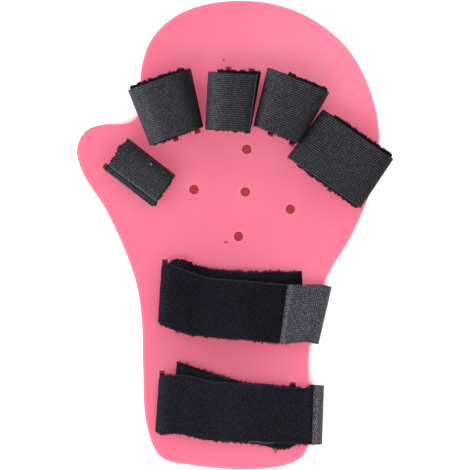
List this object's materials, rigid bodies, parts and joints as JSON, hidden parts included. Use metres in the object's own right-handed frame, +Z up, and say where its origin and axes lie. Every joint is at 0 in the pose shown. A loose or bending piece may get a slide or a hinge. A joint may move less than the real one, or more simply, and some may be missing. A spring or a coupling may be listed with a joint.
{
  "type": "finger splint board",
  "caption": "Flat hand-shaped rehabilitation board with slots, a hook-and-loop tape loop over each finger and wrap-over straps for wrist and forearm.",
  "frame": {"origin": "middle of the whole object's footprint, on the surface it lies on", "axes": "+X towards the little-finger side, +Y towards the fingertips, +Z up, away from the surface"},
  "size_m": [0.2028, 0.3, 0.0363],
  "materials": {
    "board_plastic": "satin",
    "hook_tape_weave": "ribbed weave",
    "loop_tape_pile": "brushed pile",
    "strap_pile": "brushed pile",
    "strap_hook_weave": "fine weave"
  },
  "bodies": {
    "root": {"board": "board_plastic", "thumb_hook_tape": "hook_tape_weave", "thumb_loop_tape": "loop_tape_pile", "index_hook_tape": "hook_tape_weave", "index_loop_tape": "loop_tape_pile", "middle_hook_tape": "hook_tape_weave", "middle_loop_tape": "loop_tape_pile", "ring_hook_tape": "hook_tape_weave", "ring_loop_tape": "loop_tape_pile", "pinky_hook_tape": "hook_tape_weave", "pinky_loop_tape": "loop_tape_pile", "wrist_strap": "strap_pile", "wrist_hook_tape": "strap_hook_weave", "forearm_strap": "strap_pile", "forearm_hook_tape": "strap_hook_weave"}
  },
  "joints": []
}
